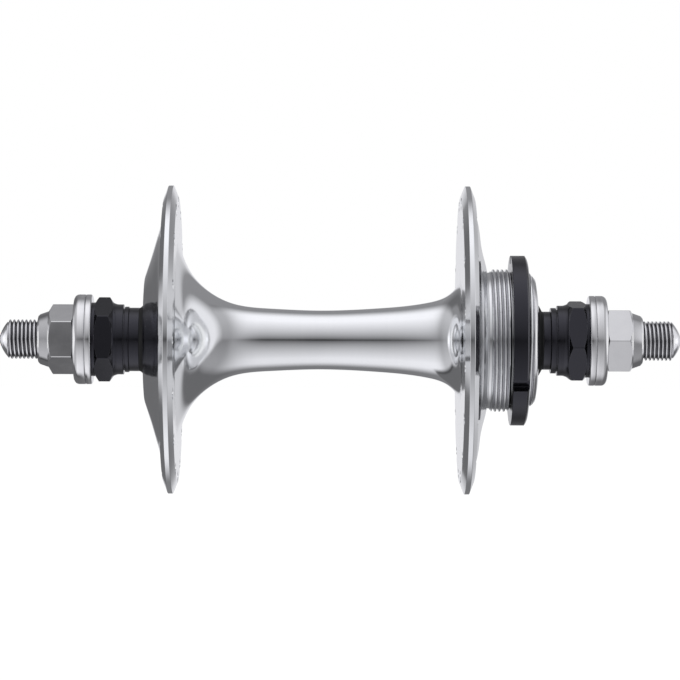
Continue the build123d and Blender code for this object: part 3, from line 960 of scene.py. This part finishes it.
make_shell()
thread_sleeve("cog_thread_turns", COG_THREAD, COG_HEIGHTS, 1, COG_STEEL)
thread_sleeve("lockring_thread_turns", LOCKRING_THREAD, LOCKRING_HEIGHTS, -1, RING_STEEL)
make_axle()
# The nuts stand as the wrench left them, in degrees round the axle
make_lock_nut("left", 27.0)
make_lock_nut("right", 9.7)
make_track_nut("left", 30.0)
make_track_nut("right", 0.0)
for side in ("left", "right"):
    make_washers(side)
    make_cone(side)
make_dust_caps()
make_lockring()
dress_bearings()


# Studio: a long cloth tent round the hub, lit from outside. A place along it is in metres from
# the middle of the axle, and a passage leads from its first place to its second.

TENT_RADIUS = 0.40
TENT_LENGTH = 2.4
TENT_AROUND, TENT_ALONG = 180, 240
TENT_GAIN = 1.02
LENS_GAP_TURN = 75  # degrees from the lens to the edge of the opening that it looks through
LENS_GAP_FALL = 0.68
LENS_GAP_HALF = 0.01
ABOVE_LEFT, ABOVE_RIGHT = (-0.08, -0.27), (0.02, 0.25)
BELOW_LEFT, BELOW_RIGHT = (-0.11, -0.32), (-0.10, 0.34)
ABOVE_BELOW = (-0.05, 0.05)
BOARD_LEFT, BOARD_RIGHT = (-0.09, -0.13), (0.02, 0.08)
BOARD_FAR, BOARD_END = (0.33, 0.42), (0.5, 0.7)
FLAG_END = (-0.45, -0.33)
LEFT_LOW = (-0.086, -0.093)
RIGHT_LAMP, RIGHT_LAMP_FULL, RIGHT_LAMP_FLOOR = (0.22, 0.66), (0.5, 0.8), (-0.25, 0.12)
LEFT_LAMP, LEFT_LAMP_HEIGHT = (-0.5, -0.75), (0.0, 0.35)
FLOOR_HEIGHT = -0.42
FLOOR_HALF = 30.0
FLOOR_LIGHT = 1.15  # light on matt things, so that the board comes out white


def smooth(value, start, end):
    """0 at start and 1 at end, with a soft passage between. It also runs downward."""
    t = min(max((value - start) / (end - start), 0.0), 1.0)
    return t * t * (3 - 2 * t)


def tent_level(x, y, z):
    """How bright the cloth is at a place in it, with 1 as white."""
    turn = degrees(abs(atan2(z, -y)))  # 0 toward the lens, 90 straight above or below

    # The opening that the lens looks through is dark, and closes toward both ends
    closed = min(1.45 * max(-x - LENS_GAP_HALF, 0.0), 0.6)
    closed += min(3.0 * max(x - LENS_GAP_HALF, 0.0), 0.6)
    lens_gap = (1 - min(turn / LENS_GAP_TURN, 1.0) ** LENS_GAP_FALL) * (1 - closed)

    # Panels above and below are brightest at the middle. The cloth behind falls dark, and low at
    # the left it falls sooner and deeper.
    above = 1.05 - 0.49 * smooth(x, *ABOVE_LEFT) - 0.57 * smooth(x, *ABOVE_RIGHT)
    below = 0.94 - 0.37 * smooth(x, *BELOW_LEFT) - 0.59 * smooth(x, *BELOW_RIGHT)
    panel = below + (above - below) * smooth(z, *ABOVE_BELOW)
    left_low = smooth(x, *LEFT_LOW) * smooth(z, 0.0, -0.05)
    back = 1 - (0.76 + 0.14 * left_low) * smooth(turn, 90, 130 - 20 * left_low)
    level = (1 - lens_gap) * panel * back

    # A board straight behind shows in the flanges' faces. A flag keeps the left dome dark.
    board = 0.78 - 0.7 * smooth(x, *BOARD_LEFT) - 0.16 * smooth(x, *BOARD_RIGHT)
    board = max(board, 0.8 * smooth(abs(x), *BOARD_FAR), 1.25 * smooth(abs(x), *BOARD_END))
    dome_flag = smooth(x, *BOARD_LEFT) * smooth(x, *FLAG_END)
    shade = 0.15 + 0.13 * smooth(z, *ABOVE_BELOW) * (1 - dome_flag)
    level = max(level, shade * smooth(turn, 100, 120), board * smooth(turn, 160, 170))

    # Lamps at both ends show in the flares, the domes and the rounded edges
    right_lamp = 0.88 * smooth(x + 0.25 * z, *RIGHT_LAMP)
    right_lamp *= 0.3 + 0.7 * smooth(z + 0.35 * smooth(x, *RIGHT_LAMP_FULL), *RIGHT_LAMP_FLOOR)
    left_lamp = (1.25 - 0.6 * smooth(abs(z), *LEFT_LAMP_HEIGHT)) * smooth(x, *LEFT_LAMP)
    return TENT_GAIN * max(level, right_lamp, left_lamp)


def tent_material():
    """Cloth that is lit from outside, as bright at each place as the tent's mesh says."""
    made = bpy.data.materials.new("light_tent_cloth")
    made.use_nodes = True
    tree = made.node_tree
    tree.nodes.clear()
    output = add(tree, "ShaderNodeOutputMaterial")
    level = add(tree, "ShaderNodeAttribute", attribute_name="level").outputs["Fac"]
    glow = add(tree, "ShaderNodeEmission", {"Color": linear("#FBFBFF"), "Strength": level})
    tree.links.new(glow.outputs["Emission"], output.inputs["Surface"])
    return made


def make_tent():
    ways = [2 * pi * j / TENT_AROUND for j in range(TENT_AROUND)]
    places = [
        (TENT_LENGTH * (i / TENT_ALONG - 0.5), -TENT_RADIUS * cos(way), TENT_RADIUS * sin(way))
        for i in range(TENT_ALONG + 1)
        for way in ways
    ]
    faces = []
    for i in range(TENT_ALONG):
        here, there = i * TENT_AROUND, (i + 1) * TENT_AROUND
        for j in range(TENT_AROUND):
            k = (j + 1) % TENT_AROUND
            faces.append((here + j, here + k, there + k, there + j))
    mesh = bpy.data.meshes.new("light_tent")
    mesh.from_pydata(places, [], faces)
    levels = mesh.attributes.new("level", "FLOAT", "POINT")
    levels.data.foreach_set("value", [tent_level(*place) for place in places])
    tent = bpy.data.objects.new("light_tent", mesh)
    bpy.context.scene.collection.objects.link(tent)
    mesh.materials.append(tent_material())
    tent.visible_camera = False
    tent.visible_shadow = False
    tent.visible_transmission = False
    tent.visible_diffuse = False


def make_floor():
    """Matt white board. It looks white to the lens and to the metal, and keeps the shadow."""
    board, _, shader = material("white_board", "#F4F4F4", 1.0, metallic=0.0)
    shader.inputs["Specular IOR Level"].default_value = 0.0
    low, high = -FLOOR_HALF, FLOOR_HALF
    corners = ((low, low), (high, low), (high, high), (low, high))
    mesh = bpy.data.meshes.new("floor")
    mesh.from_pydata([(x, y, FLOOR_HEIGHT) for x, y in corners], [], [(0, 1, 2, 3)])
    floor = bpy.data.objects.new("floor", mesh)
    bpy.context.scene.collection.objects.link(floor)
    mesh.materials.append(board)


def make_world():
    world = bpy.data.worlds.new("white_studio")
    bpy.context.scene.world = world
    world.use_nodes = True
    tree = world.node_tree
    tree.nodes.clear()
    matt = add(tree, "ShaderNodeLightPath").outputs["Is Diffuse Ray"]
    light = {"Value": matt, "To Min": 1.0, "To Max": FLOOR_LIGHT}
    strength = add(tree, "ShaderNodeMapRange", light)
    sky = add(tree, "ShaderNodeBackground", {"Color": linear("#FFFFFF"), "Strength": strength})
    output = add(tree, "ShaderNodeOutputWorld")
    tree.links.new(sky.outputs["Background"], output.inputs["Surface"])


CAMERA_DISTANCE = 0.873
CAMERA_X = -0.00456
CAMERA_ROLL = -0.18  # degrees
FRAME_PIXELS = 680
FOCAL_PIXELS = 3600
LENS_PIXEL = 321.5  # where the lens's own axis meets the frame
SENSOR = 36.0


def make_camera():
    data = bpy.data.cameras.new("camera")
    data.sensor_width = SENSOR
    data.lens = SENSOR * FOCAL_PIXELS / FRAME_PIXELS
    data.shift_x = (FRAME_PIXELS / 2 - LENS_PIXEL) / FRAME_PIXELS
    camera = bpy.data.objects.new("camera", data)
    camera.location = (CAMERA_X, -CAMERA_DISTANCE, 0.0)
    camera.rotation_euler = (radians(90), radians(CAMERA_ROLL), 0)
    bpy.context.scene.collection.objects.link(camera)
    bpy.context.scene.camera = camera


make_tent()
make_floor()
make_world()
make_camera()
bpy.context.scene.view_settings.view_transform = "Standard"
